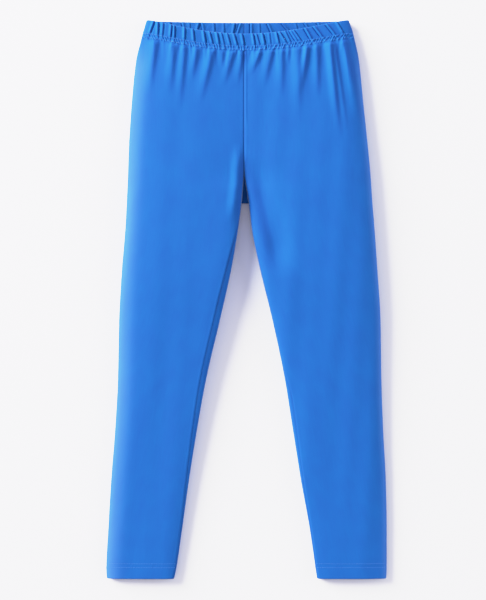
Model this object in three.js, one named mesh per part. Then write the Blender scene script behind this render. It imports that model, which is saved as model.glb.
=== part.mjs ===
import * as THREE from 'three';

// Child's plain jersey leggings, laid on their back on a flat surface, in millimetres with +Z up.
// +Y runs from the hems to the waist. +X is to the right of someone who looks down at the front.
// A place is given by down, the distance below the waist edge, and by out, the distance sideways
// from the centre seams. Every section is a line of points that runs from the front seam over the
// front, round the outer side and back along the floor.

// Driving sizes
const LENGTH = 670.8;
const CENTRE_X = -3.0;
const CLOTH = 1.25;
const HEM_CLOTH = 2.0;
const HEM_DEPTH = 20.0;
const HEM_STEP = 0.5;
const SEAM_GAP = 0.3;
const CROTCH_DOWN = 219.6;
const LIP = 2.0;

// The waist casing: its height, its wall with the elastic inside, and the stitched strip below it
const CASING_HEIGHT = 24.0;
const CASING_WALL = 2.7;
const CASING_TOP_WALL = 1.9;
const STRIP_HEIGHT = 9.6;
const CASING_PROUD = 0.4;
const CASING_SIDE_TURNS = 7;

// How far the waist's edge hangs at its centre, at the front and at the back, and where that ends
const FRONT_DIP = 17.2;
const BACK_DIP = 2.0;
const DIP_FADE = 90.0;
const DIP_ARCH = 1.25;

// Shares of the crown's height between which the front's dip, its folds and the casing's proud face
// come in, and how far from the centre seams the folds start
const DIP_BAND = { from: 0.2, to: 0.8 };
const FOLD_BAND = { from: 0.35, to: 0.75 };
const PROUD_BAND = { from: 0.3, to: 0.8 };
const FOLD_START = 3.0;

// How full the rounded outer edge of the section is, and where its sides are widest
const OUTER_FULLNESS = 2.6;
const SIDE_CORNER = 7.0;
const SIDE_LEVEL = 0.42;
const INNER_LEVEL = 0.38;
const INNER_CORNER = 4.0;
const CROTCH_CORNER = 2.2;
const INNER_LEVEL_REACH = 45.0;
const INNER_CORNER_REACH = 30.0;
const CORNER_FOOT = 0.1;

// Steps along the curved stretches of a section, how far its direction is measured each way, and
// how upright a direction is where the wall starts to be measured straight down
const SECTION_STEPS = 40;
const SECTION_CROWDING = 3;
const SIDE_STEPS = 8;
const FOOT_STEPS = 6;
const NORMAL_REACH = 0.15;
const LEVEL_FROM = 0.9;
const LEVEL_FULL = 0.98;
const QUARTER_TURN = Math.PI / 2;

// The closest that a leg section's points come to the ends of its cut
const EDGE_CLEAR = 0.2;
const END_CLEAR = 0.01;

// Length that a full turn of one radian is worth when columns are shared out
const TURN_WORTH = 20.0;

// A section's four stretches: the inner shoulder, the front, the outer side, and the floor with the
// inner corner. Each has its own number of columns, and the front has more where the flutes are.
const INNER_SHOULDER = 16.0;
const OUTER_SHOULDER = 15.0;
const SHOULDER_CROWDING = 1.35;
const FINE_COLUMNS = [6, 36, 7, 6];
const COARSE_COLUMNS = [8, 12, 6, 9];
const FLUTE_END = 110.0;

function table(names, values) {
  return values.map((row) => Object.fromEntries(names.map((name, k) => [name, row[k]])));
}

// Outline of each leg: its outer edge, and the edge of its inner side below the centre seam's end
const OUTLINE = {
  left: table(['down', 'outer', 'inner'], [
    [0, 117.0, 0], [24, 123.6, 0], [48, 129.4, 0], [96, 134.4, 0], [156, 138.2, 0],
    [182, 139.0, 0.2], [219.6, 140.6, 3.0], [252, 142.4, 7.2], [300, 146.4, 15.4],
    [360, 149.8, 28.8], [432, 151.4, 45.6], [492, 154.8, 56.4], [552, 159.6, 66.0],
    [612, 163.2, 74.4], [660, 165.6, 81.6], [670.8, 165.0, 84.0],
  ]),
  right: table(['down', 'outer', 'inner'], [
    [0, 126.0, 0], [24, 133.0, 0], [48, 138.0, 0], [96, 142.8, 0], [156, 149.0, 0],
    [182, 151.4, 0.2], [219.6, 154.0, 5.6], [252, 156.6, 9.6], [300, 160.0, 19.6],
    [360, 163.8, 34.2], [432, 165.0, 49.2], [492, 167.2, 58.8], [552, 170.4, 68.4],
    [612, 171.6, 79.2], [660, 171.6, 86.2], [670.8, 171.0, 87.8],
  ]),
};

// Height of the front, height of the centre front seam, how steeply the front falls to it, and how
// full the front's inner side is
const LOFT = table(['down', 'crown', 'seam', 'steep', 'full'], [
  [0, 15.0, 14.2, 0, 2.6], [24, 16.5, 15.4, 0, 2.6], [60, 19.0, 17.4, 0, 2.6],
  [110, 21.5, 19.6, 0, 2.6], [140, 22.6, 20.0, 0.05, 2.6], [164, 23.3, 18.6, 0.15, 2.6],
  [180, 23.8, 14.4, 0.45, 2.6], [193, 24.1, 8.6, 1, 3.4], [206, 24.4, 4.0, 1, 4.2],
  [219.6, 24.5, 2.8, 1, 4.2], [300, 24.0, 2.8, 1, 3.8], [372, 21.0, 2.8, 1, 3.3],
  [456, 17.5, 2.8, 1, 2.9], [552, 14.0, 2.8, 1, 2.6], [640, 11.8, 2.8, 1, 2.6],
  [670.8, 11.0, 2.8, 1, 2.6],
]);

// Where the inseam lies: its distance in from the leg's inner edge once it is on the front, and the
// share of the way from the floor to that place
const INSEAM = {
  left: table(['down', 'inset', 'share'], [
    [221.6, 4.0, 0], [240, 4.0, 0.5], [262, 4.0, 1], [296, 5.8, 1], [336, 6.6, 1],
    [388, 5.8, 1], [416, 6.8, 1], [500, 6.4, 1], [670.8, 5, 1],
  ]),
  right: table(['down', 'inset', 'share'], [
    [221.6, 4.0, 0], [260, 4.6, 0.4], [400, 5.0, 0.6], [456, 5.0, 1], [520, 3.6, 1],
    [600, 1.6, 1], [670.8, 1.0, 1],
  ]),
};

// Flutes that fall from the casing: where the crest starts, its lean to the right over 100 mm, half
// width, height and length. Their left flanks are wide and their right flanks are steep.
const FLUTES = table(['across', 'lean', 'half', 'height', 'length'], [
  [-108.6, -10, 4.4, 2.3, 62], [-85.2, -8, 4.4, 2.7, 60], [-72.0, -9, 3.8, 2.3, 92],
  [-58.0, -18, 3.8, 2.3, 44], [-39.6, -24, 4.4, 2.9, 84], [-26.4, 0, 2.8, 1.4, 24],
  [-15.0, -28, 3.8, 2.5, 52], [-3.0, -16, 3.4, 2.2, 50], [16.2, -38, 3.6, 2.5, 30],
  [30.6, -20, 3.8, 2.3, 46], [45.2, -3, 4.2, 2.3, 62], [52.8, 0, 2.4, 1.1, 20],
  [63.6, 2, 4.8, 2.5, 100], [73.8, -14, 3.4, 3.4, 52], [87.0, 1, 3.8, 2.2, 66],
  [104.0, 10, 3.6, 3.6, 110], [110.2, 14, 2.4, 1.6, 110], [123.2, 18, 4.0, 3.2, 96],
]);
const FLUTE_START = 45.6;
const FLUTE_FADE = 40.0;
const FLUTE_RISE = 4.0;
const FLUTE_FOOT = 0.4;
const FLUTE_LEFT = 1.45;
const FLUTE_RIGHT = 0.85;

// The soft trough down the right thigh: its place and depth
const TROUGH = table(['down', 'across', 'depth'], [
  [168, 14.0, 0], [182, 18.0, 2.1], [210, 23.0, 2.4], [243, 30.4, 2.3], [271, 37.0, 1.8],
  [300, 41.0, 0],
]);
const TROUGH_LEFT = 7.0;
const TROUGH_RIGHT = 16.0;

// Gathers of the casing: place half way down it, lean to the right over its height, and height
const FRONT_GATHERS = table(['across', 'lean', 'height'], [
  [-111.6, -7.8, 0.8], [-103.3, -0.6, 0.9], [-97.6, -1.5, 0.7], [-87.9, -1.9, 0.8],
  [-83.5, -0.4, 1.0], [-71.4, -0.4, 1.0], [-60.3, 2.2, 0.9], [-47.0, 3.5, 1.1],
  [-38.8, 5.8, 0.9], [-30.9, 3.8, 1.0], [-24.8, 5.5, 0.6], [-17.6, 5.9, 0.8],
  [-9.5, 6.1, 1.0], [11.9, 3.4, 0.9], [17.5, 6.0, 0.5], [23.8, 4.3, 1.1], [31.1, 2.4, 0.4],
  [40.7, 4.7, 0.9], [48.4, 12.6, 1.0], [53.9, 9.9, 0.6], [61.4, 12.9, 0.8],
  [65.7, 13.7, 0.9], [78.6, 11.7, 1.1], [90.9, 15.0, 1.1], [106.0, 16.0, 1.1],
  [116.6, 12.6, 0.9],
]);
const BACK_GATHERS = table(['across', 'lean', 'height'], [
  [-103.2, 0.0, 0.5], [-96.5, 1.6, 0.6], [-89.5, -1.2, 0.8], [-71.0, 6.0, 0.9],
  [-65.0, 1.9, 0.4], [-57.6, -6.5, 0.9], [-48.1, 5.2, 0.8], [-35.9, 0.8, 0.6],
  [-24.2, 0.7, 0.5], [-13.5, -4.5, 0.9], [-7.9, -8.0, 0.8], [9.0, 0.0, 0.9],
  [19.0, 1.0, 0.4], [33.6, 10.1, 1.0], [55.4, 20.4, 1.1], [65.5, 7.9, 0.4],
  [80.1, 15.1, 1.0], [94.5, 12.2, 0.9], [107.3, 11.8, 0.6], [115.1, 7.9, 0.6],
]);
const GATHER_HALF = 1.7;

const JERSEY_BLUE = { color: 0x2f7dd7, roughness: 0.88, metalness: 0 };

function clamp(value, low, high) {
  return Math.min(Math.max(value, low), high);
}

function smooth(value) {
  const t = clamp(value, 0, 1);
  return t * t * (3 - 2 * t);
}

function mix(a, b, share) {
  return a + (b - a) * share;
}

function bell(distance) {
  return Math.exp(-(distance ** 2));
}

// A column of a table at any distance down, on a smooth line through its rows that never overshoots
function at(rows, column, down) {
  const last = rows.length - 1;
  if (down <= rows[0].down) return rows[0][column];
  if (down >= rows[last].down) return rows[last][column];
  const k = rows.findIndex((row) => row.down > down) - 1;
  const slope = (i) => (rows[i + 1][column] - rows[i][column]) / (rows[i + 1].down - rows[i].down);
  const tangent = (i) => {
    if (i === 0) return slope(0);
    if (i === last) return slope(last - 1);
    const before = slope(i - 1);
    const after = slope(i);
    return before * after <= 0 ? 0 : (2 * before * after) / (before + after);
  };
  const span = rows[k + 1].down - rows[k].down;
  const t = (down - rows[k].down) / span;
  const rise = smooth(t);
  const start = t * (1 - t) * (1 - t) * span * tangent(k);
  const end = t * t * (t - 1) * span * tangent(k + 1);
  return mix(rows[k][column], rows[k + 1][column], rise) + start + end;
}

// Rounded shoulder that leaves an edge upright and levels out: 0 at the edge, 1 where it is level
function shoulder(t, full) {
  return (1 - (1 - clamp(t, 0, 1)) ** full) ** (1 / full);
}

function sizesAt(side, down) {
  const below = down - CROTCH_DOWN;
  const outer = at(OUTLINE[side], 'outer', down);
  const inner = Math.max(at(OUTLINE[side], 'inner', down), SEAM_GAP / 2);
  const crown = at(LOFT, 'crown', down);
  const lipLevel = at(LOFT, 'seam', CROTCH_DOWN);
  return {
    atBody: down <= CROTCH_DOWN,
    outer,
    inner,
    crown,
    middle: (outer + inner) / 2,
    seam: at(LOFT, 'seam', down),
    steep: at(LOFT, 'steep', down),
    full: at(LOFT, 'full', down),
    sideLevel: crown * SIDE_LEVEL,
    innerLevel: mix(lipLevel, crown * INNER_LEVEL, smooth(below / INNER_LEVEL_REACH)),
    innerCorner: mix(CROTCH_CORNER, INNER_CORNER, smooth(below / INNER_CORNER_REACH)),
  };
}

// From the inner side up over the front to the outer edge, and round the outer edge to the floor
function frontAndSide(size, footHeight) {
  const points = [];
  for (let i = 0; i <= SECTION_STEPS; i += 1) {
    const t = (i / SECTION_STEPS) ** SECTION_CROWDING;
    const gentle = 1 - (1 - t) ** 2;
    const rise = mix(gentle, shoulder(t, size.full), size.steep);
    points.push({ out: mix(size.inner, size.middle, t), z: mix(footHeight, size.crown, rise) });
  }
  for (let i = SECTION_STEPS - 1; i >= 0; i -= 1) {
    const t = (i / SECTION_STEPS) ** SECTION_CROWDING;
    const rise = shoulder(t, OUTER_FULLNESS);
    points.push({ out: mix(size.outer, size.middle, t), z: mix(size.sideLevel, size.crown, rise) });
  }
  for (let i = 1; i <= SIDE_STEPS; i += 1) {
    const turn = (i / SIDE_STEPS) * QUARTER_TURN;
    points.push({
      out: size.outer - SIDE_CORNER * (1 - Math.cos(turn)),
      z: size.sideLevel * (1 - Math.sin(turn)),
    });
  }
  return points;
}

function bodySection(side, down) {
  const size = sizesAt(side, down);
  const points = frontAndSide(size, size.seam);
  if (size.inner > SEAM_GAP) points.unshift({ out: SEAM_GAP / 2, z: size.seam });
  points.push({ out: SEAM_GAP / 2, z: 0 });
  return points;
}

// A leg's ring, starting and ending where its floor meets its inner side
function legRing(side, down) {
  const size = sizesAt(side, down);
  const corner = size.innerCorner;
  const points = [];
  for (let i = 0; i <= FOOT_STEPS; i += 1) {
    const turn = (i / FOOT_STEPS) * QUARTER_TURN;
    points.push({
      out: size.inner + corner * (1 - Math.sin(turn)),
      z: corner * (1 - Math.cos(turn)),
    });
  }
  points.push(...frontAndSide(size, Math.max(size.innerLevel, corner + CORNER_FOOT)));
  points.push({ out: size.inner + corner, z: 0 });
  return points;
}

function lengthsAlong(points) {
  const along = [0];
  for (let i = 1; i < points.length; i += 1) {
    const step = Math.hypot(points[i].out - points[i - 1].out, points[i].z - points[i - 1].z);
    along.push(along[i - 1] + step);
  }
  return along;
}

function pointAlong(points, along, distance) {
  const wanted = clamp(distance, 0, along[along.length - 1]);
  let k = 1;
  while (k < along.length - 1 && along[k] < wanted) k += 1;
  const share = (wanted - along[k - 1]) / Math.max(along[k] - along[k - 1], Number.EPSILON);
  return {
    out: mix(points[k - 1].out, points[k].out, share),
    z: mix(points[k - 1].z, points[k].z, share),
  };
}

// The leg's ring cut open at the inseam, from the seam's front edge round to its back edge
function legSection(side, down) {
  const size = sizesAt(side, down);
  const ring = legRing(side, down);
  const along = lengthsAlong(ring);
  const total = along[along.length - 1];
  const inset = size.inner + at(INSEAM[side], 'inset', down);
  const onFront = ring.findIndex((point) => point.z > size.sideLevel && point.out > inset);
  const seam = Math.max(
    along[onFront] * at(INSEAM[side], 'share', down),
    size.innerCorner * QUARTER_TURN,
  );
  const start = seam + SEAM_GAP;
  const points = [pointAlong(ring, along, start)];
  ring.forEach((point, k) => {
    if (along[k] > start + EDGE_CLEAR && along[k] < total - END_CLEAR) points.push(point);
  });
  points.push(ring[0]);
  ring.forEach((point, k) => {
    if (along[k] > EDGE_CLEAR && along[k] < seam - EDGE_CLEAR) points.push(point);
  });
  points.push(pointAlong(ring, along, seam));
  return points;
}

// How much a line of points turns at one of them
function turnAt(points, i) {
  if (i === points.length - 1) return 0;
  const before = Math.atan2(points[i].z - points[i - 1].z, points[i].out - points[i - 1].out);
  const after = Math.atan2(points[i + 1].z - points[i].z, points[i + 1].out - points[i].out);
  return Math.abs(Math.atan2(Math.sin(after - before), Math.cos(after - before)));
}

// Distances along a stretch of a section that share its length and its turning among the columns
function evenStops(points, along, from, to, columns) {
  const cost = [0];
  for (let i = 1; i < points.length; i += 1) {
    const inside = along[i] > from && along[i] < to;
    const length = Math.max(Math.min(along[i], to) - Math.max(along[i - 1], from), 0);
    cost.push(cost[i - 1] + length + (inside ? turnAt(points, i) * TURN_WORTH : 0));
  }
  const all = cost[cost.length - 1];
  const stops = [];
  for (let c = 1; c < columns; c += 1) {
    const wanted = (c / columns) * all;
    let k = 1;
    while (k < cost.length - 1 && cost[k] < wanted) k += 1;
    const share = (wanted - cost[k - 1]) / Math.max(cost[k] - cost[k - 1], Number.EPSILON);
    stops.push(clamp(mix(along[k - 1], along[k], clamp(share, 0, 1)), from, to));
  }
  stops.push(to);
  return stops;
}

// Stops of a whole section, and the numbers of the columns where its stretches meet
function sectionStops(points, along, size, columns) {
  const shoulderOut = size.inner + INNER_SHOULDER;
  const front = points.findIndex((point) => point.z > size.innerLevel && point.out > shoulderOut);
  const outer = points.findIndex((point) => point.out > size.outer - OUTER_SHOULDER);
  const floor = points.findIndex((point, k) => k > outer && point.z < CORNER_FOOT / 2);
  const ends = [0, along[front], along[outer], along[floor], along[along.length - 1]];
  const stops = [0];
  const marks = [0];
  const steady = [size.atBody, true, false, size.atBody];
  columns.forEach((count, k) => {
    const power = k === 0 ? SHOULDER_CROWDING : 1;
    const evenly = (c) => mix(ends[k], ends[k + 1], (c / count) ** power);
    if (steady[k]) for (let c = 1; c <= count; c += 1) stops.push(evenly(c));
    else stops.push(...evenStops(points, along, ends[k], ends[k + 1], count));
    marks.push(stops.length - 1);
  });
  return { stops, marks };
}

// The direction out of the cloth at a stop, and the point there
function frameAlong(points, along, stop) {
  const before = pointAlong(points, along, stop - NORMAL_REACH);
  const after = pointAlong(points, along, stop + NORMAL_REACH);
  const run = Math.hypot(after.out - before.out, after.z - before.z);
  return {
    ...pointAlong(points, along, stop),
    normalOut: -(after.z - before.z) / run,
    normalZ: (after.out - before.out) / run,
  };
}

// How much a point belongs to the raised front, from 0 at a band's start to 1 at its end
function frontShare(z, crown, band) {
  return smooth((z / crown - band.from) / (band.to - band.from));
}

// How far the waist hangs below its highest edge, fading out towards the hips
function dip(side, spot, down, crown) {
  const half = at(OUTLINE[side], 'outer', 0);
  const across = clamp(spot.out / half, 0, 1);
  const hang = mix(BACK_DIP, FRONT_DIP, frontShare(spot.z, crown, DIP_BAND));
  return hang * (1 - across * across) ** DIP_ARCH * (1 - smooth(down / DIP_FADE));
}

// Flutes below the casing: down counts along the cloth, and lower is where that cloth lies
function fluteHeight(across, down, lower) {
  const sum = FLUTES.reduce((height, flute) => {
    const away = across - flute.across - (flute.lean * (lower - FLUTE_START)) / 100;
    const flank = flute.half * (away < 0 ? FLUTE_LEFT : FLUTE_RIGHT);
    const fade = 1 - smooth((lower - FLUTE_FADE) / flute.length);
    return height + flute.height * bell(away / flank) * fade;
  }, 0);
  return sum * mix(FLUTE_FOOT, 1, smooth((down - CASING_HEIGHT) / FLUTE_RISE));
}

function troughDepth(across, down) {
  const away = across - at(TROUGH, 'across', down);
  return at(TROUGH, 'depth', down) * bell(away / (away < 0 ? TROUGH_LEFT : TROUGH_RIGHT));
}

function place(side, out, down, z) {
  const hand = side === 'left' ? -1 : 1;
  return new THREE.Vector3(CENTRE_X + hand * out, LENGTH / 2 - down, z);
}

// One row of a panel: matching points on its outer and inner skin
function panelRow(side, down, columns) {
  const points = down <= CROTCH_DOWN ? bodySection(side, down) : legSection(side, down);
  const along = lengthsAlong(points);
  const wall = down > LENGTH - HEM_DEPTH ? HEM_CLOTH : CLOTH;
  const crown = at(LOFT, 'crown', down);
  const hand = side === 'left' ? -1 : 1;
  const { stops, marks } = sectionStops(points, along, sizesAt(side, down), columns);
  const row = { outer: [], inner: [], marks };
  for (const stop of stops) {
    const spot = frameAlong(points, along, stop);
    const across = hand * spot.out;
    const lower = down + dip(side, spot, down, crown);
    const awayFromSeam = smooth(spot.out / FOLD_START);
    const relief = fluteHeight(across, down, lower) - troughDepth(across, down);
    const z = spot.z + frontShare(spot.z, crown, FOLD_BAND) * awayFromSeam * relief;
    const level = smooth((Math.abs(spot.normalZ) - LEVEL_FROM) / (LEVEL_FULL - LEVEL_FROM));
    const facing = mix(spot.normalZ, Math.sign(spot.normalZ), level);
    row.outer.push(place(side, spot.out, lower, z));
    row.inner.push(place(side, spot.out - spot.normalOut * wall, lower, z - facing * wall));
  }
  return row;
}

// Joins two neighbouring rows of points with triangles, stretch by stretch, whatever their counts
function zip(faces, first, firstMarks, second, secondMarks, flip) {
  for (let m = 0; m < firstMarks.length - 1; m += 1) {
    const firstEnd = firstMarks[m + 1];
    const secondEnd = secondMarks[m + 1];
    let i = firstMarks[m];
    let j = secondMarks[m];
    while (i < firstEnd || j < secondEnd) {
      const stepFirst = (i + 1 - firstMarks[m]) / (firstEnd - firstMarks[m]);
      const stepSecond = (j + 1 - secondMarks[m]) / (secondEnd - secondMarks[m]);
      const takeFirst = j === secondEnd || (i < firstEnd && stepFirst <= stepSecond);
      const third = takeFirst ? first + i + 1 : second + j + 1;
      faces.push(flip ? [first + i, third, second + j] : [first + i, second + j, third]);
      if (takeFirst) i += 1;
      else j += 1;
    }
  }
}

function quad(faces, a, b, c, d) {
  faces.push([a, b, c], [a, c, d]);
}

// A closed wall through rows of outer and inner points
function wallGeometry(rows) {
  const positions = [];
  const starts = [];
  const faces = [];
  for (const row of rows) {
    const start = positions.length / 3;
    const count = row.outer.length;
    starts.push({ outer: start, inner: start + count, last: count - 1, marks: row.marks });
    for (const point of [...row.outer, ...row.inner]) positions.push(point.x, point.y, point.z);
  }
  for (let r = 0; r < rows.length - 1; r += 1) {
    const a = starts[r];
    const b = starts[r + 1];
    zip(faces, a.outer, a.marks, b.outer, b.marks, false);
    zip(faces, a.inner, a.marks, b.inner, b.marks, true);
    quad(faces, a.outer, a.inner, b.inner, b.outer);
    quad(faces, a.outer + a.last, b.outer + b.last, b.inner + b.last, a.inner + a.last);
  }
  const top = starts[0];
  const bottom = starts[starts.length - 1];
  for (let i = 0; i < top.last; i += 1) {
    quad(faces, top.outer + i, top.outer + i + 1, top.inner + i + 1, top.inner + i);
  }
  for (let i = 0; i < bottom.last; i += 1) {
    quad(faces, bottom.outer + i + 1, bottom.outer + i, bottom.inner + i, bottom.inner + i + 1);
  }
  const geometry = new THREE.BufferGeometry();
  geometry.setAttribute('position', new THREE.Float32BufferAttribute(positions, 3));
  geometry.setIndex(facingOut(positions, faces).flat());
  geometry.computeVertexNormals();
  return geometry;
}

// Turns every face over if the body's signed volume is negative
function facingOut(positions, faces) {
  const corner = (i) => new THREE.Vector3().fromArray(positions, i * 3);
  const volume = faces.reduce((sum, [a, b, c]) => (
    sum + corner(a).dot(corner(b).cross(corner(c)))
  ), 0);
  return volume > 0 ? faces : faces.map(([a, b, c]) => [a, c, b]);
}

// Stretches of a panel's length and how far apart its rows are there, closest at the flutes, the
// crotch and the lip below it
const BODY_ROWS = table(['from', 'to', 'step'], [
  [CASING_HEIGHT + SEAM_GAP, FLUTE_END, 10], [FLUTE_END, 168, 19], [168, CROTCH_DOWN, 6],
]);
const LEG_ROWS = table(['from', 'to', 'step'], [
  [CROTCH_DOWN + LIP, 266, 9], [266, 330, 16], [330, LENGTH - HEM_DEPTH, 40],
]);

function rowsOver(stretches) {
  return stretches.flatMap(({ from, to, step }) => {
    const count = Math.round((to - from) / step);
    return Array.from({ length: count }, (_, i) => mix(from, to, i / count));
  });
}

function panelDowns() {
  const hem = LENGTH - HEM_DEPTH;
  return [
    ...rowsOver(BODY_ROWS), CROTCH_DOWN, ...rowsOver(LEG_ROWS),
    hem, hem + HEM_STEP, hem + HEM_DEPTH / 2, LENGTH,
  ];
}

function legPanel(side) {
  const rows = panelDowns().map((down) => (
    panelRow(side, down, down < FLUTE_END ? FINE_COLUMNS : COARSE_COLUMNS)
  ));
  return wallGeometry(rows);
}

// The casing's wall and how strongly its gathers stand, by the share of its height from the top
const CASING_ROWS = table(['share', 'wall', 'gather'], [
  [0, CASING_TOP_WALL, 0.5], [0.08, CASING_WALL, 1], [0.36, CASING_WALL, 1],
  [1 - STRIP_HEIGHT / CASING_HEIGHT, CASING_WALL, 0.9], [0.78, CASING_WALL, 0.2], [1, CLOTH, 0.35],
]);

// The stop where a section's front passes a distance from the centre
function stopOnFront(points, along, across) {
  const k = points.findIndex((point, i) => i > 0 && point.out >= across);
  const step = Math.max(points[k].out - points[k - 1].out, Number.EPSILON);
  return mix(along[k - 1], along[k], clamp((across - points[k - 1].out) / step, 0, 1));
}

// The gathers of one side, nearest the centre first, as foot, top and foot of each ridge
function ridges(gathers, side, share) {
  const hand = side === 'left' ? -1 : 1;
  const own = gathers.filter((gather) => gather.across * hand > 0);
  own.sort((a, b) => Math.abs(a.across) - Math.abs(b.across));
  return own.flatMap((gather) => {
    const centre = hand * (gather.across + gather.lean * (share - 0.5));
    return [
      { across: centre - GATHER_HALF, height: 0 },
      { across: centre, height: gather.height },
      { across: centre + GATHER_HALF, height: 0 },
    ];
  });
}

// The columns of a row of the casing: each has its stop and how far a gather stands out there
function casingColumns(side, casing, points, along, size) {
  const total = along[along.length - 1];
  const columns = [{ stop: 0, front: 0, back: 0 }];
  for (const ridge of ridges(FRONT_GATHERS, side, casing.share)) {
    const stop = stopOnFront(points, along, ridge.across);
    columns.push({ stop, front: ridge.height, back: 0 });
  }
  const sideStart = columns[columns.length - 1].stop;
  const sideEnd = total - (size.outer - SIDE_CORNER);
  for (let i = 1; i < CASING_SIDE_TURNS; i += 1) {
    columns.push({ stop: mix(sideStart, sideEnd, i / CASING_SIDE_TURNS), front: 0, back: 0 });
  }
  for (const ridge of ridges(BACK_GATHERS, side, casing.share)) {
    columns.push({ stop: total - ridge.across, front: 0, back: ridge.height });
  }
  columns.push({ stop: total, front: 0, back: 0 });
  return columns.sort((a, b) => a.stop - b.stop);
}

function casingRow(side, casing) {
  const down = casing.share * CASING_HEIGHT;
  const points = bodySection(side, down);
  const along = lengthsAlong(points);
  const size = sizesAt(side, down);
  const columns = casingColumns(side, casing, points, along, size);
  const row = { outer: [], inner: [], marks: [0, columns.length - 1] };
  for (const column of columns) {
    const spot = frameAlong(points, along, column.stop);
    const { out, z, normalOut, normalZ } = spot;
    const lower = down + dip(side, spot, down, size.crown);
    const upper = frontShare(z, size.crown, PROUD_BAND);
    const raised = CASING_PROUD * upper + column.front * casing.gather;
    const sunk = casing.wall + column.back * casing.gather;
    row.outer.push(place(side, out + normalOut * raised, lower, z + normalZ * raised));
    row.inner.push(place(side, out - normalOut * sunk, lower, z - normalZ * sunk));
  }
  return row;
}

function casingHalf(side) {
  return wallGeometry(CASING_ROWS.map((casing) => casingRow(side, casing)));
}

function piece(name, geometry) {
  const mesh = new THREE.Mesh(geometry, new THREE.MeshStandardMaterial(JERSEY_BLUE));
  mesh.name = name;
  return mesh;
}

const leggings = new THREE.Group();
for (const side of ['left', 'right']) {
  leggings.add(piece(`leg_${side}`, legPanel(side)));
  leggings.add(piece(`waistband_${side}`, casingHalf(side)));
}

export default leggings;
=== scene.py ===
import math
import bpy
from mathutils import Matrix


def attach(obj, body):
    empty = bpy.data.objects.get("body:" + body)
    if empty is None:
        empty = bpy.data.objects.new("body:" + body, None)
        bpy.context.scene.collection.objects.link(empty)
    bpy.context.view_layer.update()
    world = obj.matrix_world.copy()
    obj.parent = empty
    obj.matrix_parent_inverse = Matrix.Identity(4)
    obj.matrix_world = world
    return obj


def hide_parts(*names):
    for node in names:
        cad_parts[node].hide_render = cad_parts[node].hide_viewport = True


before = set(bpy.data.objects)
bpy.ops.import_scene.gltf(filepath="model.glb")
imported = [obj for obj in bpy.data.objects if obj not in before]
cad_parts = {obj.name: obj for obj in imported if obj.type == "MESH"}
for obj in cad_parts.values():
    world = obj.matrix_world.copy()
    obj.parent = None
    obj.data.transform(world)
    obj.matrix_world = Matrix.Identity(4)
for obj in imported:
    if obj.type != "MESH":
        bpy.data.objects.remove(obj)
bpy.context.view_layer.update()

from types import SimpleNamespace

import bpy
import numpy as np
from mathutils import Vector

# Child's plain jersey leggings, laid on their back. Tables and shapes are in millimetres and turn into
# metres when a mesh is made. A place is given by down, the distance below the waist edge, and by out,
# the distance sideways from the centre seams; across is out with its sign, positive to the right.

METRES = 0.001
LENGTH = 670.8
CENTRE_X = -3.0

# How far down the crotch is, and how much further down the legs' own sections start
CROTCH_DOWN = 219.6
LIP = 0.1

# Thickness of the cloth and of the turned-up hem, how deep the hem is, and half the gap at a seam
CLOTH = 1.0
HEM_CLOTH = 1.9
HEM_DEPTH = 20.0
HALF_GAP = 0.04

# The waist casing, where its strip of elastic ends, and the rounding of its upper edge
CASING_HEIGHT = 24.0
CASING_WALL = 2.6
STRIP_TOP = 14.4
TOP_ROUND = 1.3

# How far the middle of the waist hangs at the front and at the back, and how far down that dies out
FRONT_DIP = 17.2
BACK_DIP = 2.0
DIP_FADE = 90.0

# How full the outer edge of a section is, its corners, and the shares of its height where the sides are
# widest
FULLNESS = 2.6
SIDE_CORNER = 7.0
SIDE_LEVEL = 0.42
INNER_LEVEL = 0.38
INNER_CORNER = 4.0
CROTCH_CORNER = 2.2

# Widths of the shoulders that get columns of their own, what a radian of turning is worth in
# millimetres there and the sharpest turn that counts, and how deep the sewn edges are turned in
INNER_SHOULDER = 16.0
OUTER_SHOULDER = 15.0
TURN_WORTH = 20.0
SHARPEST_TURN = 0.3
TUCK = 3.5

HANDS = {"left": -1.0, "right": 1.0}


def table(names, rows):
    return dict(zip(names.split(), np.array(rows, float).T))


# The outer and inner edges of each leg, as distances out
OUTLINE = {
    "left": table("down outer inner", [
        (0, 117.0, 0), (24, 123.6, 0), (48, 129.4, 0), (96, 134.4, 0), (156, 138.2, 0), (182, 139.0, 0.2),
        (219.6, 140.6, 3.0), (252, 142.4, 7.2), (300, 146.4, 15.4), (360, 149.8, 28.8), (432, 151.4, 45.6),
        (492, 154.8, 56.4), (552, 159.6, 66.0), (612, 163.2, 74.4), (660, 165.6, 81.6), (670.8, 165.0, 84.0),
    ]),
    "right": table("down outer inner", [
        (0, 126.0, 0), (24, 133.0, 0), (48, 138.0, 0), (96, 142.8, 0), (156, 149.0, 0), (182, 151.4, 0.2),
        (219.6, 154.0, 5.6), (252, 156.6, 9.6), (300, 160.0, 19.6), (360, 163.8, 34.2), (432, 165.0, 49.2),
        (492, 167.2, 58.8), (552, 170.4, 68.4), (612, 171.6, 79.2), (660, 171.6, 86.2), (670.8, 171.0, 87.8),
    ]),
}

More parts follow.
